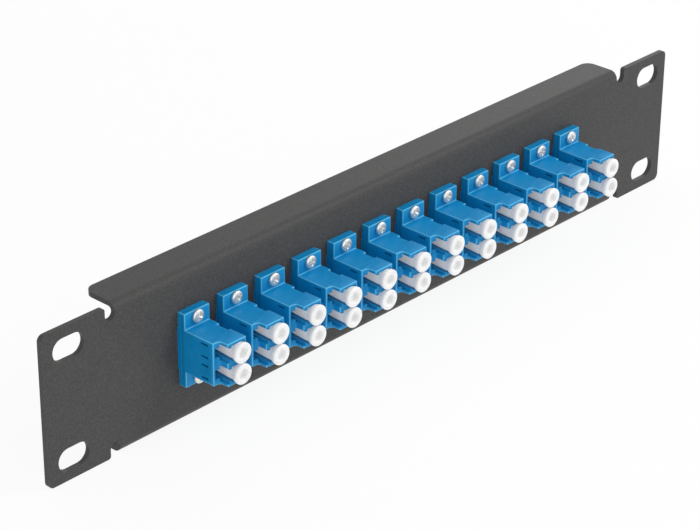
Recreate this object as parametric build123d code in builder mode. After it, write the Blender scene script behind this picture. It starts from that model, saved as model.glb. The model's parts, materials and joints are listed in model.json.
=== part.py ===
# Fibre patch panel: a 10 inch, one unit high folded panel that carries twelve upright
# LC duplex adapters, each with two pull-off dust caps in its front ports.
#
# Frame, in millimetres: X to the right seen from the front, +Y to the back, +Z up.
# The origin is the centre of the rack slots on the back face of the ears, which is
# the face that meets the rack rails.

import os

from build123d import *

# Folded panel
panel_width = 254.0
panel_height = 44.0
sheet = 1.5
bend_radius = 1.1
return_depth = 11.8
return_corner_radius = 3.0
ear_width = 21.0
ear_outer_radius = 1.8
ear_inner_radius = 0.8

# Relief notches between the ears and the ends of the folds
relief_width = 3.4
relief_depth = 4.1

# Rack slots, set in from the panel's ends to stand 236.525 mm apart
slot_inset = 8.7375
slot_pitch_z = 31.75
slot_length = 10.4
slot_height = 6.6

# Adapters in the panel
adapter_count = 12
adapter_pitch = 14.0
adapter_rise = 0.6
cutout_clearance = 0.15

# Adapter housing half, from its flange to its mouth
flange_width = 9.0
flange_height = 21.8
half_flange = 1.35
body_height = 12.6
mouth_reach = 13.4
latch_wall_reach = 10.75
latch_wall_width = 2.3
waist_start = 3.6
waist_length = 4.0
waist_depth = 0.9

# LC port outline, measured across the housing from the latch side
port_pitch = 6.25
port_size = 4.65
port_wall = 0.65
port_depth = 12.8
shoulder_length = 1.75
latch_slot_width = 2.7
latch_slot_length = 1.35

# Flange screws
screw_pitch = 18.1
screw_head_radius = 1.9
screw_head_height = 1.1

# Dust caps
cap_head_clearance = 0.1
cap_head_radius = 2.97
cap_head_length = 2.0
cap_stem_clearance = 0.225
cap_stem_chamfer = 0.9
cap_stem_length = 7.0

# Places worked out from the sizes above
front_face = -sheet
split_plane = front_face - half_flange
flange_front = split_plane - half_flange
cap_plane = flange_front - mouth_reach - cap_head_clearance
port_x = flange_width / 2 - port_wall - port_size / 2
port_rows = [("upper", port_pitch / 2), ("lower", -port_pitch / 2)]
adapter_centres = [
    ((index - (adapter_count - 1) / 2) * adapter_pitch, adapter_rise)
    for index in range(adapter_count)
]

os.makedirs("parts", exist_ok=True)


def finish(piece, label):
    """Names a finished piece and writes it to its own file."""
    piece.label = label
    export_step(piece, f"parts/{label}.step")


# Folded panel: a flat face with a return flange folded back along its top and bottom
fold_end = panel_width / 2 - ear_width - relief_width
ear_start = fold_end + relief_width
notch_middle = fold_end + relief_width / 2
with BuildPart() as panel:
    with BuildSketch(Plane.YZ.offset(-fold_end)):
        with Locations((front_face + return_depth / 2, 0)):
            outer = Rectangle(return_depth, panel_height)
        fillet(outer.vertices().group_by(Axis.X)[0], bend_radius + sheet)
        with BuildSketch(mode=Mode.PRIVATE) as hollow:
            with Locations((return_depth / 2, 0)):
                inner = Rectangle(return_depth, panel_height - 2 * sheet)
            fillet(inner.vertices().group_by(Axis.X)[0], bend_radius)
        add(hollow.sketch, mode=Mode.SUBTRACT)
    extrude(amount=2 * fold_end)

    # Return flanges have rounded back corners
    back_corners = panel.edges().filter_by(Axis.Z).group_by(Axis.Y)[-1]
    fillet(back_corners, return_corner_radius)

    # Ears carry on flat past the folds, parted from them by round-ended notches
    with BuildSketch(Plane.XZ) as ears:
        Rectangle(panel_width, panel_height)
        fillet(ears.vertices(), ear_outer_radius)
        Rectangle(2 * ear_start, panel_height, mode=Mode.SUBTRACT)
        fillet(ears.vertices().filter_by_position(Axis.X, -ear_start, ear_start), ear_inner_radius)
        with GridLocations(2 * notch_middle, 0, 2, 1):
            Rectangle(relief_width, panel_height)
        with GridLocations(2 * notch_middle, panel_height, 2, 2):
            SlotOverall(2 * relief_depth, relief_width, rotation=90, mode=Mode.SUBTRACT)
    extrude(amount=sheet)

    # Rack slots in the ears
    with BuildSketch(Plane.XZ):
        with GridLocations(panel_width - 2 * slot_inset, slot_pitch_z, 2, 2):
            SlotOverall(slot_length, slot_height)
    extrude(amount=sheet, mode=Mode.SUBTRACT)

    # A cut-out for each adapter body
    with BuildSketch(Plane.XZ):
        with Locations(adapter_centres):
            Rectangle(flange_width + 2 * cutout_clearance, body_height + 2 * cutout_clearance)
    extrude(amount=sheet, mode=Mode.SUBTRACT)
finish(panel.part, "panel")


# Adapter housing half: both halves of an adapter come from this one moulding.
# Its flange's split face lies on Y = 0 and its mouth points to -Y.
latch_face = -flange_width / 2
mouth_plane = -(half_flange + mouth_reach)
step_floor = -(half_flange + latch_wall_reach)
with BuildPart() as half:
    with BuildSketch(Plane.XZ):
        Rectangle(flange_width, flange_height)
    extrude(amount=half_flange)
    with BuildSketch(Plane.XZ.offset(half_flange)):
        Rectangle(flange_width, body_height)
    extrude(amount=mouth_reach)

    # The mouth stands back on the latch side
    with BuildSketch(Plane.XY.offset(-body_height / 2)):
        with Locations((latch_face, step_floor)):
            step_length = mouth_reach - latch_wall_reach
            Rectangle(latch_wall_width, step_length, align=(Align.MIN, Align.MAX))
    extrude(amount=body_height, mode=Mode.SUBTRACT)

    # A waist is let into the side away from the latches
    with BuildSketch(Plane.XY.offset(-body_height / 2)):
        with Locations((flange_width / 2, -(half_flange + waist_start))):
            Rectangle(waist_depth, waist_length, align=(Align.MAX, Align.MAX))
    extrude(amount=body_height, mode=Mode.SUBTRACT)

    # Two ports, each a square socket with a shoulder track as wide beside it, and the
    # narrower latch slot beyond that
    with BuildSketch(Plane.XZ.offset(-mouth_plane)):
        for row, port_z in port_rows:
            with Locations((port_x + port_size / 2, port_z)):
                Rectangle(
                    port_size + shoulder_length,
                    port_size,
                    align=(Align.MAX, Align.CENTER),
                )
            slot_start = port_x - port_size / 2 - shoulder_length
            with Locations((slot_start, port_z)):
                Rectangle(latch_slot_length, latch_slot_width, align=(Align.MAX, Align.CENTER))
    extrude(amount=-port_depth, mode=Mode.SUBTRACT)


# Dust cap: a round head and a square stem with broken corners that fits the port, made
# about its own axis, with the head's back face on Y = 0 and the stem pointing to +Y
cap_stem_width = port_size - 2 * cap_stem_clearance
with BuildPart() as cap:
    with BuildSketch(Plane.XZ):
        Circle(cap_head_radius)
    extrude(amount=cap_head_length)
    with BuildSketch(Plane.XZ):
        stem = Rectangle(cap_stem_width, cap_stem_width)
        chamfer(stem.vertices(), cap_stem_chamfer)
    extrude(amount=-cap_stem_length)


# Adapters: the front half stands on the panel's face, and the back half is turned over
# and reaches back through the cut-out. Each front port holds a cap.
for number, (adapter_x, adapter_z) in enumerate(adapter_centres, start=1):
    with BuildPart() as front_housing:
        with Locations((adapter_x, split_plane, adapter_z)):
            add(half.part)
    finish(front_housing.part, f"front_housing_{number:02d}")

    with BuildPart() as rear_housing:
        with Locations(Location((adapter_x, split_plane, adapter_z), (180, 0, 0))):
            add(half.part)
    finish(rear_housing.part, f"rear_housing_{number:02d}")

    for row, port_z in port_rows:
        with BuildPart() as dust_cap:
            with Locations((adapter_x + port_x, cap_plane, adapter_z + port_z)):
                add(cap.part)
        finish(dust_cap.part, f"dust_cap_{number:02d}_{row}")


# Flange screws: the heads that hold each adapter's flange to the panel, above and below
with BuildPart() as flange_screws:
    with BuildSketch(Plane.XZ.offset(-flange_front)):
        for adapter_x, adapter_z in adapter_centres:
            with Locations((adapter_x, adapter_z)):
                with GridLocations(0, screw_pitch, 1, 2):
                    Circle(screw_head_radius)
    extrude(amount=screw_head_height)
finish(flange_screws.part, "flange_screws")
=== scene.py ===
# Looks of the fibre patch panel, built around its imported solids.
# Metres, in the solids' own frame: X to the right, +Y to the back, +Z up, the origin at
# the centre of the rack slots on the back face of the ears. The camera's angles are in
# radians, and the angles of arcs and of smoothing are in degrees.

import json
import math
import random

import bmesh
import bpy
from mathutils import Matrix, Vector


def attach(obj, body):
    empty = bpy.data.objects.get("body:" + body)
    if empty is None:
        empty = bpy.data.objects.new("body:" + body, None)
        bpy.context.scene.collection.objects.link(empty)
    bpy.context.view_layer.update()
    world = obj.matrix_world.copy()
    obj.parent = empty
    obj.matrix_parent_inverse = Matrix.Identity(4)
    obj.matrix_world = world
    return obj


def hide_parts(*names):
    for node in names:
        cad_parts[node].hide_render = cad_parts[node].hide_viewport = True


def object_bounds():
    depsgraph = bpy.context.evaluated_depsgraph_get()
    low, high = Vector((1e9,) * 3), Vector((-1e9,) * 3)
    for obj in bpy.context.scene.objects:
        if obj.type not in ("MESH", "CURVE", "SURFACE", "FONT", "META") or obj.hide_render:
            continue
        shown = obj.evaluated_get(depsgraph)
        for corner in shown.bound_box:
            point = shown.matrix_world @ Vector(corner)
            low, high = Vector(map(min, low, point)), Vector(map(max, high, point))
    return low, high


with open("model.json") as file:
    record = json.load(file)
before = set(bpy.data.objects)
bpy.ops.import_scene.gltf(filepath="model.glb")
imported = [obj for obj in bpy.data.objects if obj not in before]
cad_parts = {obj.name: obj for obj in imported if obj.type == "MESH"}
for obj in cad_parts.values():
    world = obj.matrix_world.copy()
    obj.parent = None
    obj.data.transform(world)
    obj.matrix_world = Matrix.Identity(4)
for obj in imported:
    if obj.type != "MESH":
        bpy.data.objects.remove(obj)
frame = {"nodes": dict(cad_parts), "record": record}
cad_box = [list(corner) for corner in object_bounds()]

MM = 0.001

# Sizes that the solids also have
SHEET = 1.5 * MM
HALF_FLANGE = 1.35 * MM
SPLIT_PLANE = -SHEET - HALF_FLANGE
FLANGE_FRONT = SPLIT_PLANE - HALF_FLANGE
ADAPTER_COUNT = 12
ADAPTER_PITCH = 14.0 * MM
ADAPTER_RISE = 0.6 * MM
CUTOUT_CLEARANCE = 0.15 * MM
FLANGE_WIDTH = 9.0 * MM
FLANGE_HEIGHT = 21.8 * MM
BODY_HEIGHT = 12.6 * MM
MOUTH_REACH = 13.4 * MM
LATCH_WALL_WIDTH = 2.3 * MM
WAIST_START = 3.6 * MM
WAIST_END = 7.6 * MM
WAIST_DEPTH = 0.9 * MM
PORT_SIZE = 4.65 * MM
PORT_X = 1.525 * MM
PORT_DEPTH = 12.8 * MM
SHOULDER_LENGTH = 1.75 * MM
LATCH_SLOT_WIDTH = 2.7 * MM
LATCH_SLOT_LENGTH = 1.35 * MM
SCREW_PITCH = 18.1 * MM
SCREW_HEAD_RADIUS = 1.9 * MM
SCREW_HEAD_HEIGHT = 1.1 * MM
CAP_PLANE = FLANGE_FRONT - MOUTH_REACH - 0.1 * MM

# Heights of the port rows from an adapter's middle
PORT_PITCH = 6.25 * MM
ROWS = {"upper": PORT_PITCH / 2, "lower": -PORT_PITCH / 2}


def adapter_x(index):
    """X of an adapter's middle, counted from 0 at the left."""
    return (index - (ADAPTER_COUNT - 1) / 2) * ADAPTER_PITCH


# Camera, as fitted to the photograph
CAMERA_TARGET = Vector((-16.16, -1.5, 0.50)) * MM
CAMERA_DISTANCE = 690.7 * MM
CAMERA_TURN = -0.8219
CAMERA_HEIGHT = 0.4787
CAMERA_ROLL = 0.0065
FOCAL_PIXELS = 2495.0
PHOTO_WIDTH = 700
SENSOR_WIDTH = 36.0
CLIP_RANGE = (0.01, 20.0)


def make_camera():
    """Places the camera on its line of sight, with the photograph's roll."""
    back = Vector((
        math.sin(CAMERA_TURN) * math.cos(CAMERA_HEIGHT),
        -math.cos(CAMERA_TURN) * math.cos(CAMERA_HEIGHT),
        math.sin(CAMERA_HEIGHT),
    ))
    right = Vector((0, 0, 1)).cross(back).normalized()
    up = back.cross(right)
    rolled_right = right * math.cos(CAMERA_ROLL) + up * math.sin(CAMERA_ROLL)
    rolled_up = back.cross(rolled_right)
    data = bpy.data.cameras.new("camera")
    data.sensor_fit = "HORIZONTAL"
    data.sensor_width = SENSOR_WIDTH
    data.lens = FOCAL_PIXELS / PHOTO_WIDTH * SENSOR_WIDTH
    data.clip_start, data.clip_end = CLIP_RANGE
    camera = bpy.data.objects.new("camera", data)
    facing = Matrix((rolled_right, rolled_up, back)).transposed().to_4x4()
    place = CAMERA_TARGET + back * CAMERA_DISTANCE
    camera.matrix_world = Matrix.Translation(place) @ facing
    bpy.context.scene.collection.objects.link(camera)
    bpy.context.scene.camera = camera


# Node material helpers

def new_material(name):
    """A material, its node tree and its Principled shader."""
    material = bpy.data.materials.new(name)
    material.use_nodes = True
    tree = material.node_tree
    shader = tree.nodes["Principled BSDF"]
    return material, tree, shader


def add_node(tree, kind, **values):
    """A node with its sockets set by name."""
    node = tree.nodes.new(kind)
    for name, value in values.items():
        node.inputs[name.replace("_", " ")].default_value = value
    return node


def object_noise(tree, grain, detail=2.0, roughness=0.55):
    """Noise whose grain is that many metres across."""
    place = tree.nodes.new("ShaderNodeTexCoord")
    noise = add_node(
        tree,
        "ShaderNodeTexNoise",
        Scale=1.0 / grain,
        Detail=detail,
        Roughness=roughness,
    )
    tree.links.new(place.outputs["Object"], noise.inputs["Vector"])
    return noise.outputs["Fac"]


def ramp(tree, source, stops):
    """A colour ramp on a source socket, with stops of (place, colour)."""
    node = tree.nodes.new("ShaderNodeValToRGB")
    elements = node.color_ramp.elements
    while len(elements) < len(stops):
        elements.new(0.5)
    for element, (place, colour) in zip(elements, stops):
        element.position = place
        element.color = (*colour, 1.0)
    tree.links.new(source, node.inputs["Fac"])
    return node.outputs["Color"]


def map_range(tree, source, low, high):
    """A value from 0 to 1 spread from low to high."""
    node = add_node(tree, "ShaderNodeMapRange", To_Min=low, To_Max=high)
    tree.links.new(source, node.inputs["Value"])
    return node.outputs["Result"]


def set_surface(tree, shader, colour, roughness):
    """Feeds a shader's colour and roughness from sockets."""
    tree.links.new(colour, shader.inputs["Base Color"])
    tree.links.new(roughness, shader.inputs["Roughness"])


def add_bump(tree, shader, heights, distance, strength):
    """Bump on a shader from a height socket."""
    bump = add_node(tree, "ShaderNodeBump", Distance=distance, Strength=strength)
    tree.links.new(heights, bump.inputs["Height"])
    tree.links.new(bump.outputs["Normal"], shader.inputs["Normal"])


# Where noise ramps between two shades start and end
DARK_STOP = 0.30
LIGHT_STOP = 0.70


def powder_coat():
    """Dark grey powder coat with a fine orange-peel grain."""
    material, tree, shader = new_material("powder_coat")
    grain = object_noise(tree, grain=0.42 * MM, detail=4.0, roughness=0.6)
    speckle = ramp(tree, grain, [
        (0.30, (0.050, 0.050, 0.050)),
        (0.55, (0.068, 0.067, 0.066)),
        (0.75, (0.094, 0.093, 0.091)),
    ])
    set_surface(tree, shader, speckle, map_range(tree, grain, low=0.36, high=0.52))
    add_bump(tree, shader, grain, distance=0.12 * MM, strength=0.35)
    shader.inputs["Specular IOR Level"].default_value = 0.10
    return material


def housing_plastic(name, dark, light):
    """Blue moulded plastic with a fine matt grain, between two shades."""
    material, tree, shader = new_material(name)
    cloud = object_noise(tree, grain=6.0 * MM)
    grain = object_noise(tree, grain=0.18 * MM)
    tint = ramp(tree, cloud, [(DARK_STOP, dark), (LIGHT_STOP, light)])
    set_surface(tree, shader, tint, map_range(tree, grain, low=0.36, high=0.50))
    add_bump(tree, shader, grain, distance=0.02 * MM, strength=0.25)
    shader.inputs["Specular IOR Level"].default_value = 0.28
    return material


def cap_plastic():
    """Milky soft plastic that light enters. A little emission stands for light that
    passes through the thin walls."""
    material, tree, shader = new_material("cap_plastic")
    cloud = object_noise(tree, grain=2.5 * MM)
    grain = object_noise(tree, grain=0.25 * MM)
    tint = ramp(tree, cloud, [
        (DARK_STOP, (0.60, 0.605, 0.61)),
        (LIGHT_STOP, (0.65, 0.655, 0.66)),
    ])
    set_surface(tree, shader, tint, map_range(tree, cloud, low=0.32, high=0.46))
    add_bump(tree, shader, grain, distance=0.02 * MM, strength=0.2)
    shader.inputs["Subsurface Weight"].default_value = 0.8
    shader.inputs["Subsurface Scale"].default_value = 1.0 * MM
    shader.inputs["Subsurface Radius"].default_value = (1.0, 0.85, 0.75)
    shader.inputs["Emission Color"].default_value = (1.0, 0.98, 0.96, 1.0)
    shader.inputs["Emission Strength"].default_value = 0.19
    return material


def nickel():
    """Bright nickel plate with a fine grain."""
    material, tree, shader = new_material("nickel")
    grain = object_noise(tree, grain=0.30 * MM, detail=3.0)
    tint = ramp(tree, grain, [
        (DARK_STOP, (0.72, 0.71, 0.69)),
        (LIGHT_STOP, (0.84, 0.83, 0.81)),
    ])
    set_surface(tree, shader, tint, map_range(tree, grain, low=0.26, high=0.42))
    add_bump(tree, shader, grain, distance=0.01 * MM, strength=0.3)
    shader.inputs["Metallic"].default_value = 0.8
    return material


MATERIALS = {
    "panel_sheet": powder_coat(),
    "housing_plastic": housing_plastic(
        "blue_moulding", dark=(0.000, 0.215, 0.490), light=(0.001, 0.240, 0.540)
    ),
    "cap_plastic": cap_plastic(),
    "screw_steel": nickel(),
}

# The housings' broken edges are painted a paler blue, a painted highlight where they catch
# the light
HOUSING_EDGE_HIGHLIGHT = housing_plastic(
    "blue_edge_highlight", dark=(0.070, 0.400, 0.680), light=(0.100, 0.460, 0.740)
)
HIGHLIGHT_SLOT = 1


def dress(piece, slot):
    """Gives a piece its material."""
    piece.data.materials.clear()
    piece.data.materials.append(MATERIALS[slot])


# Mesh helpers
CORNER_ANGLE = math.radians(35)
FLAT_ANGLE = math.radians(0.5)
MERGE_DISTANCE = 0.001 * MM
SPLIT_TOLERANCE = 0.01 * MM


def mesh_object(name, bm):
    """An object from a bmesh, linked to the scene, with its normals outward."""
    bmesh.ops.recalc_face_normals(bm, faces=bm.faces)
    mesh = bpy.data.meshes.new(name)
    bm.to_mesh(mesh)
    bm.free()
    piece = bpy.data.objects.new(name, mesh)
    bpy.context.scene.collection.objects.link(piece)
    return piece


def shade_smooth(piece, angle):
    """Smooth shading that keeps edges sharper than an angle, in degrees."""
    piece.data.shade_smooth()
    piece.data.set_sharp_from_angle(angle=math.radians(angle))


def soften(piece, width):
    """Rounds a piece's sharp edges by a small bevel."""
    bevel = piece.modifiers.new("edge_break", "BEVEL")
    bevel.width = width
    bevel.segments = 2
    bevel.limit_method = "ANGLE"
    bevel.angle_limit = CORNER_ANGLE
    bevel.harden_normals = False
    return bevel


def keep_split_sharp(piece, bevel):
    """Makes a half's bevel take all its corners but those of the split face."""
    bm = bmesh.new()
    bm.from_mesh(piece.data)
    weight = bm.edges.layers.float.new("bevel_weight_edge")
    for edge in bm.edges:
        split = all(abs(vert.co.y) < SPLIT_TOLERANCE for vert in edge.verts)
        corner = edge.calc_face_angle(0) > CORNER_ANGLE
        edge[weight] = float(corner and not split)
    bm.to_mesh(piece.data)
    bm.free()
    bevel.limit_method = "WEIGHT"


def rounded_square(half, corner, angle):
    """How far a square with round corners reaches at an angle. With a corner as large
    as the half width, it is a circle."""
    across, up = abs(math.cos(angle)), abs(math.sin(angle))
    straight = half / max(across, up)
    core = half - corner
    if straight * min(across, up) <= core:
        return straight
    along = core * (across + up)
    return along + math.sqrt(along ** 2 - 2 * core ** 2 + corner ** 2)


def ring(half, corner, y, steps):
    """Points round the Y axis on a rounded square, or the one point on the axis."""
    if half == 0:
        return [(0.0, y, 0.0)]
    points = []
    for step in range(steps):
        angle = 2 * math.pi * step / steps
        reach = rounded_square(half, corner, angle)
        points.append((reach * math.cos(angle), y, reach * math.sin(angle)))
    return points


def skin(bm, rings):
    """Joins each ring of points to the next by faces. A ring may be one point."""
    rows = [[bm.verts.new(point) for point in points] for points in rings]
    steps = max(len(row) for row in rows)
    for first, second in zip(rows, rows[1:]):
        for step in range(steps):
            following = (step + 1) % steps
            corners = [
                first[step % len(first)],
                first[following % len(first)],
                second[following % len(second)],
                second[step % len(second)],
            ]
            bm.faces.new(list(dict.fromkeys(corners)))


def turned(bm, profile, steps):
    """Adds a solid of revolution about Y from (radius, y) points."""
    skin(bm, [ring(radius, radius, y, steps) for radius, y in profile])


def arc(centre, radius, start, end, steps):
    """Points on an arc in a plane, angles in degrees."""
    points = []
    for step in range(steps + 1):
        angle = math.radians(start + (end - start) * step / steps)
        points.append((
            centre[0] + radius * math.cos(angle),
            centre[1] + radius * math.sin(angle),
        ))
    return points


def prism(bm, outline, travel):
    """Adds a closed prism from a flat outline and its copy moved along."""
    near = [bm.verts.new(point) for point in outline]
    far = [bm.verts.new(Vector(point) + Vector(travel)) for point in outline]
    bm.faces.new(near)
    bm.faces.new(list(reversed(far)))
    for step in range(len(near)):
        following = (step + 1) % len(near)
        bm.faces.new([near[step], near[following], far[following], far[step]])


def block(bm, low, high):
    """Adds a box between two corners."""
    outline = [
        (low[0], low[1], low[2]),
        (high[0], low[1], low[2]),
        (high[0], high[1], low[2]),
        (low[0], high[1], low[2]),
    ]
    prism(bm, outline, (0, 0, high[2] - low[2]))


def apply_modifiers(piece):
    """Turns a piece's modifiers into its mesh."""
    bpy.context.view_layer.update()
    evaluated = piece.evaluated_get(bpy.context.evaluated_depsgraph_get())
    mesh = bpy.data.meshes.new_from_object(evaluated)
    piece.modifiers.clear()
    piece.data = mesh


def carve(body, cutter):
    """Takes the cutter out of the body. The cutter is used up."""
    cut = body.modifiers.new("cut", "BOOLEAN")
    cut.operation = "DIFFERENCE"
    cut.solver = "EXACT"
    cut.use_self = True
    cut.object = cutter
    apply_modifiers(body)
    bpy.data.objects.remove(cutter)


def tidy_flats(piece):
    """Joins faces that lie in one plane, so that a bevel runs cleanly."""
    bm = bmesh.new()
    bm.from_mesh(piece.data)
    bmesh.ops.remove_doubles(bm, verts=bm.verts, dist=MERGE_DISTANCE)
    bmesh.ops.dissolve_limit(bm, angle_limit=FLAT_ANGLE, verts=bm.verts, edges=bm.edges)
    bm.to_mesh(piece.data)
    bm.free()


def copies(name, template, places):
    """One object made of a template's mesh and materials at each matrix."""
    bm = bmesh.new()
    for place in places:
        start = len(bm.verts)
        bm.from_mesh(template.data)
        bm.verts.ensure_lookup_table()
        bmesh.ops.transform(bm, matrix=place, verts=bm.verts[start:])
    piece = mesh_object(name, bm)
    for material in template.data.materials:
        piece.data.materials.append(material)
    return piece


def place_at(x, y, z):
    """A move to a point."""
    return Matrix.Translation((x, y, z))


def adapter_place(index):
    """Where the middle of an adapter's split face is."""
    return place_at(adapter_x(index), SPLIT_PLANE, ADAPTER_RISE)


TURNED_OVER = Matrix.Rotation(math.pi, 4, "X")


# Every solid gets its material, and the panel stays as it is but for a fine edge break
PANEL_EDGE_BREAK = 0.14 * MM

for entry in frame["record"]["subparts"]:
    dress(frame["nodes"][entry["node"]], entry["material_slot"])
soften(frame["nodes"]["panel"], PANEL_EDGE_BREAK)


# Adapter housing half, as the solid but with its fine form: port necks, catch windows,
# a curved step at the mouth and broken edges. Its split face is on Y = 0 and its mouth
# at -Y. The latch wall ends a little short of the solid's, as the photograph has it.
EDGE_BREAK = 0.24 * MM
PORT_EDGE_BREAK = 0.06 * MM
SHELL_SMOOTHING = 25
LATCH_WALL_REACH = 10.4 * MM
MOUTH_Y = -HALF_FLANGE - MOUTH_REACH
STEP_Y = -HALF_FLANGE - LATCH_WALL_REACH
STEP_BLEND = 1.1 * MM
STEP_BLEND_FACES = 8
WAIST_LOW_Y = -HALF_FLANGE - WAIST_END
WAIST_HIGH_Y = -HALF_FLANGE - WAIST_START
NECK_LENGTH = 0.75 * MM
NECK_RIB = 0.55 * MM
WINDOW_START = 5.75 * MM
WINDOW_LENGTH = 2.7 * MM
WINDOW_HEIGHT = 0.6 * MM
WINDOW_OFFSET = 1.87 * MM
WINDOW_LAP = 0.1 * MM
GROOVE_START = 8.55 * MM
GROOVE_WIDTH = 0.16 * MM
GROOVE_DEPTH = 0.07 * MM

# How far a cutter stands out of what it cuts
PAST = 1.0 * MM


def half_blank():
    """The flange and body of a half as one T-shaped block."""
    bm = bmesh.new()
    side = -FLANGE_WIDTH / 2
    upper = [
        (side, 0, FLANGE_HEIGHT / 2),
        (side, -HALF_FLANGE, FLANGE_HEIGHT / 2),
        (side, -HALF_FLANGE, BODY_HEIGHT / 2),
        (side, MOUTH_Y, BODY_HEIGHT / 2),
    ]
    lower = [(x, y, -z) for x, y, z in reversed(upper)]
    prism(bm, upper + lower, (FLANGE_WIDTH, 0, 0))
    return mesh_object("housing", bm)


def outer_cuts():
    """What shapes a half's outside: the mouth step and the waist."""
    bm = bmesh.new()
    latch_face = -FLANGE_WIDTH / 2
    step_x = latch_face + LATCH_WALL_WIDTH
    deep = -BODY_HEIGHT / 2 - PAST
    tall = BODY_HEIGHT + 2 * PAST

    # Mouth step, with a curve from its floor up to full reach
    centre = (step_x - STEP_BLEND, STEP_Y - STEP_BLEND)
    curve = arc(centre, STEP_BLEND, 90, 0, STEP_BLEND_FACES)
    mouth = [(step_x, MOUTH_Y - PAST), (latch_face - PAST, MOUTH_Y - PAST)]
    step = [(latch_face - PAST, STEP_Y)] + curve + mouth
    prism(bm, [(x, y, deep) for x, y in step], (0, 0, tall))

    # Waist on the side away from the latches
    block(
        bm,
        (FLANGE_WIDTH / 2 - WAIST_DEPTH, WAIST_LOW_Y, deep),
        (FLANGE_WIDTH / 2 + PAST, WAIST_HIGH_Y, deep + tall),
    )
    return mesh_object("outer_cuts", bm)


def inner_cuts():
    """What is let into a shaped half: ports, catch windows and the fine line."""
    bm = bmesh.new()
    latch_face = -FLANGE_WIDTH / 2

    # Ports, and the windows that their catches spring into
    floor_y = MOUTH_Y + PORT_DEPTH
    neck_x = PORT_X - PORT_SIZE / 2
    shoulder_x = neck_x - NECK_LENGTH
    slot_x = neck_x - SHOULDER_LENGTH
    window_y = -HALF_FLANGE - WINDOW_START
    for z in ROWS.values():
        half = PORT_SIZE / 2
        outline = [
            (neck_x + PORT_SIZE, z - half),
            (neck_x + PORT_SIZE, z + half),
            (neck_x, z + half),
            (neck_x, z + half - NECK_RIB),
            (shoulder_x, z + half - NECK_RIB),
            (shoulder_x, z + half),
            (slot_x, z + half),
            (slot_x, z + LATCH_SLOT_WIDTH / 2),
            (slot_x - LATCH_SLOT_LENGTH, z + LATCH_SLOT_WIDTH / 2),
        ]
        outline += [(x, 2 * z - height) for x, height in reversed(outline)]
        floor = [(x, floor_y, height) for x, height in outline]
        prism(bm, floor, (0, -PORT_DEPTH - PAST, 0))
        for side in (-1, 1):
            window_z = z + side * WINDOW_OFFSET
            low = (
                latch_face - PAST,
                window_y - WINDOW_LENGTH,
                window_z - WINDOW_HEIGHT / 2,
            )
            high = (slot_x + WINDOW_LAP, window_y, window_z + WINDOW_HEIGHT / 2)
            block(bm, low, high)

    # A fine line across the top and bottom, between the broken edges
    groove_y = -HALF_FLANGE - GROOVE_START
    groove_reach = FLANGE_WIDTH / 2 - EDGE_BREAK
    for side in (-1, 1):
        surface = side * BODY_HEIGHT / 2
        block(
            bm,
            (-groove_reach, groove_y - GROOVE_WIDTH, surface - GROOVE_DEPTH),
            (groove_reach, groove_y, surface + GROOVE_DEPTH),
        )
    return mesh_object("inner_cuts", bm)


def make_housings():
    """Both halves of every adapter, each in place of its solid."""
    template = half_blank()
    carve(template, outer_cuts())
    tidy_flats(template)
    dress(template, "housing_plastic")
    template.data.materials.append(HOUSING_EDGE_HIGHLIGHT)
    outer_break = soften(template, EDGE_BREAK)
    # The outer bevels take the paler blue of the painted edge highlight
    outer_break.material = HIGHLIGHT_SLOT
    keep_split_sharp(template, outer_break)
    apply_modifiers(template)
    carve(template, inner_cuts())
    tidy_flats(template)
    # The port edges' small bevels also take the painted highlight's paler blue
    soften(template, PORT_EDGE_BREAK).material = HIGHLIGHT_SLOT
    apply_modifiers(template)
    for index in range(ADAPTER_COUNT):
        number = index + 1
        for end, turn in (("front", Matrix.Identity(4)), ("rear", TURNED_OVER)):
            place = adapter_place(index) @ turn
            piece = copies(f"{end}_shell_{number:02d}", template, [place])
            shade_smooth(piece, SHELL_SMOOTHING)
            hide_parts(f"{end}_housing_{number:02d}")
            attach(piece, "frame")
    bpy.data.objects.remove(template)


# Ribs on the sides of the bodies, that fill all but a hair of the cut-outs' clearance
RIB_GAP = 0.02 * MM
RIB_INSET = 0.05 * MM


def make_ribs():
    """A rib on both sides of every body, inside the sheet's thickness."""
    bm = bmesh.new()
    half_height = BODY_HEIGHT / 2 - EDGE_BREAK
    for index in range(ADAPTER_COUNT):
        for side in (-1, 1):
            ends = [
                adapter_x(index) + side * (FLANGE_WIDTH / 2 + reach)
                for reach in (-RIB_INSET, CUTOUT_CLEARANCE - RIB_GAP)
            ]
            block(
                bm,
                (min(ends), -SHEET + RIB_INSET, ADAPTER_RISE - half_height),
                (max(ends), -RIB_INSET, ADAPTER_RISE + half_height),
            )
    ribs = mesh_object("body_ribs", bm)
    dress(ribs, "housing_plastic")
    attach(ribs, "frame")


# The waist is let in a little deeper than the ports' outer wall is thick, so a thin
# plate closes each port there
PLATE_START = 3.65 * MM
PLATE_END = 3.84 * MM
PLATE_LAP = 0.1 * MM


def make_port_plates():
    """A plate beside every port, at both ends of the adapters."""
    bm = bmesh.new()
    half = PORT_SIZE / 2 + PLATE_LAP
    for z in ROWS.values():
        block(
            bm,
            (PLATE_START, WAIST_LOW_Y - PLATE_LAP, z - half),
            (PLATE_END, WAIST_HIGH_Y + PLATE_LAP, z + half),
        )
    template = mesh_object("port_plate", bm)
    places = []
    for index in range(ADAPTER_COUNT):
        places += [adapter_place(index), adapter_place(index) @ TURNED_OVER]
    plates = copies("port_plates", template, places)
    bpy.data.objects.remove(template)
    dress(plates, "housing_plastic")
    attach(plates, "frame")


# Ferrule sleeves: a blue holder on each port's floor with a white split sleeve in it
HOLDER_RADIUS = 1.4 * MM
HOLDER_BORE = 0.95 * MM
HOLDER_LENGTH = 5.5 * MM
SLEEVE_RADIUS = 0.93 * MM
SLEEVE_BORE = 0.625 * MM
SLEEVE_SET_BACK = 0.45 * MM
TUBE_CHAMFER = 0.12 * MM
TUBE_FLOOR = 0.2 * MM
TUBE_STEPS = 32
TUBE_SMOOTHING = 40


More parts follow.
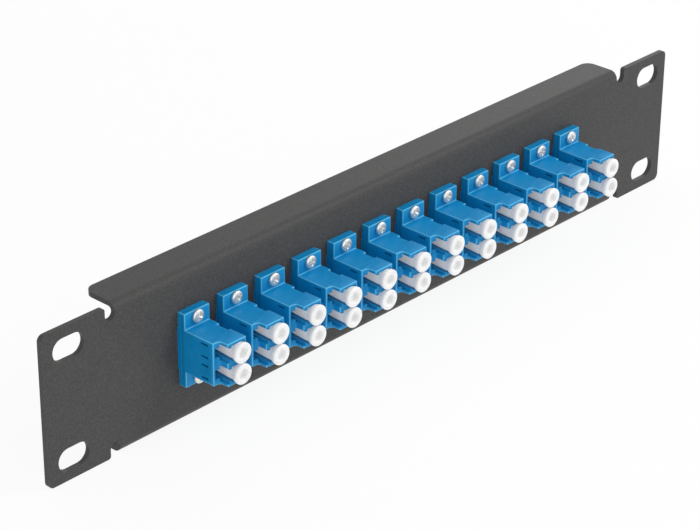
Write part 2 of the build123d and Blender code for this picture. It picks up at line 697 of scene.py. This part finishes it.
def tube(name, outer, bore, length):
    """A tube that stands on Y = 0 and ends at -Y, with its rim broken."""
    bm = bmesh.new()
    turned(bm, [
        (0, 0),
        (outer, 0),
        (outer, -length + TUBE_CHAMFER),
        (outer - TUBE_CHAMFER, -length),
        (bore + TUBE_CHAMFER, -length),
        (bore, -length + TUBE_CHAMFER),
        (bore, -TUBE_FLOOR),
        (0, -TUBE_FLOOR),
    ], TUBE_STEPS)
    return mesh_object(name, bm)


def make_sleeves():
    """Holders and sleeves for the ports at both ends of the adapters."""
    floor = MOUTH_REACH - PORT_DEPTH + HALF_FLANGE
    places = []
    for index in range(ADAPTER_COUNT):
        for z in ROWS.values():
            middle = adapter_place(index)
            port = place_at(PORT_X, -floor, z)
            places += [middle @ port, middle @ TURNED_OVER @ port]
    sleeve_length = HOLDER_LENGTH - SLEEVE_SET_BACK
    holder = tube("holder", HOLDER_RADIUS, HOLDER_BORE, HOLDER_LENGTH)
    sleeve = tube("sleeve", SLEEVE_RADIUS, SLEEVE_BORE, sleeve_length)
    for name, template, slot in (
        ("sleeve_holders", holder, "housing_plastic"),
        ("split_sleeves", sleeve, "cap_plastic"),
    ):
        piece = copies(name, template, places)
        bpy.data.objects.remove(template)
        shade_smooth(piece, TUBE_SMOOTHING)
        dress(piece, slot)
        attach(piece, "frame")


# Dust caps: a rounded square stem that flares into a round head with a dimple.
# Each section is its half width, its corner radius and its y, all in millimetres. They
# run from inside the stem's bore, over its end, along it, round the head and into the
# dimple. Where the corner radius is the half width, the section is a circle.
CAP_STEPS = 64
CAP_SMOOTHING = 50
CAP_SECTIONS = [
    (0, 0, 4.2),
    (1.30, 1.30, 4.2),
    (1.30, 1.30, 6.85),
    (1.45, 1.40, 6.95),
    (1.62, 1.00, 7.0),
    (1.76, 1.04, 6.92),
    (1.81, 1.06, 6.75),
    (2.08, 1.20, 1.60),
    (2.12, 1.40, 0.95),
    (2.16, 1.70, 0.55),
    (2.22, 2.05, 0.28),
    (2.28, 2.28, 0.11),
    (2.44, 2.44, 0.02),
    (2.55, 2.55, -0.12),
    (2.65, 2.65, -0.35),
    (2.74, 2.74, -0.65),
    (2.82, 2.82, -0.95),
    (2.88, 2.88, -1.25),
    (2.92, 2.92, -1.48),
    (2.92, 2.92, -1.62),
    (2.88, 2.88, -1.76),
    (2.80, 2.80, -1.87),
    (2.68, 2.68, -1.95),
    (2.54, 2.54, -1.99),
    (2.40, 2.40, -2.0),
    (1.84, 1.84, -2.0),
    (1.70, 1.70, -1.97),
    (1.58, 1.58, -1.88),
    (1.49, 1.49, -1.72),
    (1.42, 1.42, -1.40),
    (1.36, 1.36, -0.85),
    (1.24, 1.24, -0.66),
    (1.02, 1.02, -0.57),
    (0, 0, -0.52),
]


def cap_template():
    """One cap about its own axis, its head's back on Y = 0 and its stem towards +Y."""
    bm = bmesh.new()
    rings = [
        ring(half * MM, corner * MM, y * MM, CAP_STEPS)
        for half, corner, y in CAP_SECTIONS
    ]
    skin(bm, rings)
    return mesh_object("cap", bm)


def make_caps():
    """A cap in every front port, each in place of its solid."""
    template = cap_template()
    for index in range(ADAPTER_COUNT):
        for row, z in ROWS.items():
            tag = f"{index + 1:02d}_{row}"
            place = place_at(adapter_x(index) + PORT_X, CAP_PLANE, ADAPTER_RISE + z)
            piece = copies(f"cap_shell_{tag}", template, [place])
            shade_smooth(piece, CAP_SMOOTHING)
            dress(piece, "cap_plastic")
            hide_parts(f"dust_cap_{tag}")
            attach(piece, f"cap_{tag}")
    bpy.data.objects.remove(template)


# Flange screws: pan heads with a cross recess, and the threaded ends behind the panel
HEAD_STEPS = 48
HEAD_EDGE = 0.50 * MM
HEAD_EDGE_TURN = -72
HEAD_EDGE_FACES = 8
HEAD_EDGE_BREAK = 0.05 * MM
UNDERCUT_DEPTH = 0.30 * MM
UNDERCUT_HEIGHT = 0.16 * MM
UNDERCUT_RIM = 0.22 * MM
CROWN = [(0.9 * MM, -1.05 * MM), (0.45 * MM, -1.09 * MM), (0, -SCREW_HEAD_HEIGHT)]
CROSS_WIDTH = 0.50 * MM
CROSS_REACH = 1.12 * MM
CROSS_DEPTH = 0.75 * MM
CROSS_PAST = 0.1 * MM
CROSS_TAPER = 0.45
TIP_STEPS = 28
TIP_RADIUS = 1.0 * MM
TIP_LENGTH = 1.6 * MM
THREAD_PITCH = 0.4 * MM
THREAD_DEPTH = 0.14 * MM
SCREW_SMOOTHING = 30
SCREW_SEED = 7

# Shares of a thread's pitch where a crest ends, the root lies and the next crest starts
CREST_END = 0.3
ROOT_MIDDLE = 0.6
CREST_START = 0.9


def screw_template():
    """One head with its back on Y = 0 and its face towards -Y."""
    bm = bmesh.new()
    undercut = SCREW_HEAD_RADIUS - UNDERCUT_DEPTH
    centre = (SCREW_HEAD_RADIUS - HEAD_EDGE, -HEAD_EDGE)
    profile = [
        (0, 0),
        (undercut, 0),
        (undercut, -UNDERCUT_HEIGHT),
        (SCREW_HEAD_RADIUS, -UNDERCUT_RIM),
    ]
    profile += arc(centre, HEAD_EDGE, 0, HEAD_EDGE_TURN, HEAD_EDGE_FACES) + CROWN
    turned(bm, profile, HEAD_STEPS)
    head = mesh_object("screw", bm)

    # Each arm of the recess narrows towards its floor
    bm = bmesh.new()
    top = -SCREW_HEAD_HEIGHT - CROSS_PAST
    floor = top + CROSS_DEPTH + CROSS_PAST
    for crosswise in (False, True):
        rows = []
        for y, share in ((top, 1.0), (floor, CROSS_TAPER)):
            reach, wide = CROSS_REACH * share, CROSS_WIDTH / 2
            corners = [(-reach, -wide), (reach, -wide), (reach, wide), (-reach, wide)]
            if crosswise:
                corners = [(-z, x) for x, z in corners]
            rows.append([(x, y, z) for x, z in corners])
        skin(bm, [[(0, top, 0)]] + rows + [[(0, floor, 0)]])
    carve(head, mesh_object("cross", bm))
    tidy_flats(head)
    soften(head, HEAD_EDGE_BREAK)
    apply_modifiers(head)
    return head


def tip_template():
    """One threaded end that comes out of the panel's back at Y = 0."""
    bm = bmesh.new()
    root = TIP_RADIUS - THREAD_DEPTH
    profile = [(0, 0), (TIP_RADIUS, 0)]
    for turn in range(int(TIP_LENGTH / THREAD_PITCH)):
        y = turn * THREAD_PITCH
        profile += [
            (TIP_RADIUS, y + CREST_END * THREAD_PITCH),
            (root, y + ROOT_MIDDLE * THREAD_PITCH),
            (TIP_RADIUS, y + CREST_START * THREAD_PITCH),
        ]
    profile += [(root, TIP_LENGTH), (0, TIP_LENGTH)]
    turned(bm, profile, TIP_STEPS)
    return mesh_object("tip", bm)


def make_screws():
    """All the heads, each turned by chance, and all the threaded ends."""
    chance = random.Random(SCREW_SEED)
    heads, ends = [], []
    for index in range(ADAPTER_COUNT):
        for side in (1, -1):
            x = adapter_x(index)
            z = ADAPTER_RISE + side * SCREW_PITCH / 2
            spin = Matrix.Rotation(chance.uniform(0, math.pi / 2), 4, "Y")
            heads.append(place_at(x, FLANGE_FRONT, z) @ spin)
            ends.append(place_at(x, 0, z))
    for name, template, places in (
        ("screw_heads", screw_template(), heads),
        ("screw_ends", tip_template(), ends),
    ):
        piece = copies(name, template, places)
        bpy.data.objects.remove(template)
        shade_smooth(piece, SCREW_SMOOTHING)
        dress(piece, "screw_steel")
        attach(piece, "frame")
        if name == "screw_heads":
            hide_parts("flange_screws")


make_housings()
make_ribs()
make_port_plates()
make_sleeves()
make_caps()
make_screws()


# Floor, backdrop and lights
FLOOR_REACH = 3.0
FLOOR_WHITENESS = 0.90
FILL_STRENGTH = 0.70
SEEN_STRENGTH = 1.0


def make_floor():
    """A pale floor under the panel, nearly all glow, that still takes its shadow."""
    low = cad_box[0][2]
    mesh = bpy.data.meshes.new("floor")
    corners = [
        (-FLOOR_REACH, -FLOOR_REACH, low),
        (FLOOR_REACH, -FLOOR_REACH, low),
        (FLOOR_REACH, FLOOR_REACH, low),
        (-FLOOR_REACH, FLOOR_REACH, low),
    ]
    mesh.from_pydata(corners, [], [(0, 1, 2, 3)])
    floor = bpy.data.objects.new("floor", mesh)
    bpy.context.scene.collection.objects.link(floor)
    material, tree, shader = new_material("floor")
    shader.inputs["Base Color"].default_value = (0.9, 0.9, 0.9, 1.0)
    shader.inputs["Roughness"].default_value = 0.9
    output = tree.nodes["Material Output"]
    glow = add_node(
        tree, "ShaderNodeEmission", Color=(1.0, 1.0, 1.0, 1.0), Strength=1.0
    )
    mix = add_node(tree, "ShaderNodeMixShader", Fac=FLOOR_WHITENESS)
    tree.links.new(shader.outputs["BSDF"], mix.inputs[1])
    tree.links.new(glow.outputs["Emission"], mix.inputs[2])
    tree.links.new(mix.outputs["Shader"], output.inputs["Surface"])
    floor.data.materials.append(material)


def make_world():
    """White to the camera, through clear things and in reflections, and a weaker fill
    for all other light."""
    world = bpy.data.worlds.new("studio")
    bpy.context.scene.world = world
    world.use_nodes = True
    tree = world.node_tree
    background = tree.nodes["Background"]
    background.inputs["Color"].default_value = (1.0, 1.0, 1.0, 1.0)
    path = tree.nodes.new("ShaderNodeLightPath")
    seen = path.outputs["Is Camera Ray"]
    for ray in ("Is Transmission Ray", "Is Glossy Ray"):
        either = tree.nodes.new("ShaderNodeMath")
        either.operation = "MAXIMUM"
        tree.links.new(seen, either.inputs[0])
        tree.links.new(path.outputs[ray], either.inputs[1])
        seen = either.outputs["Value"]
    strength = map_range(tree, seen, low=FILL_STRENGTH, high=SEEN_STRENGTH)
    tree.links.new(strength, background.inputs["Strength"])


def area_light(name, place, aim, size, power):
    """A square soft box at a place, pointed at another, in metres and watts."""
    data = bpy.data.lights.new(name, "AREA")
    data.shape = "SQUARE"
    data.size = size
    data.energy = power
    lamp = bpy.data.objects.new(name, data)
    lamp.location = place
    facing = (Vector(aim) - Vector(place)).to_track_quat("-Z", "Y")
    lamp.rotation_euler = facing.to_euler()
    bpy.context.scene.collection.objects.link(lamp)


make_camera()
make_world()
make_floor()
area_light("key", place=(0.50, -0.48, 0.62), aim=(0.03, 0, 0), size=0.5, power=3.6)
area_light("front", place=(-0.7, -1.1, 0.3), aim=(-0.05, 0, 0), size=0.9, power=2.6)
area_light("back", place=(0.96, 0.556, 0.45), aim=(0.1, 0, 0), size=0.4, power=1.0)

scene = bpy.context.scene
scene.view_settings.view_transform = "Standard"
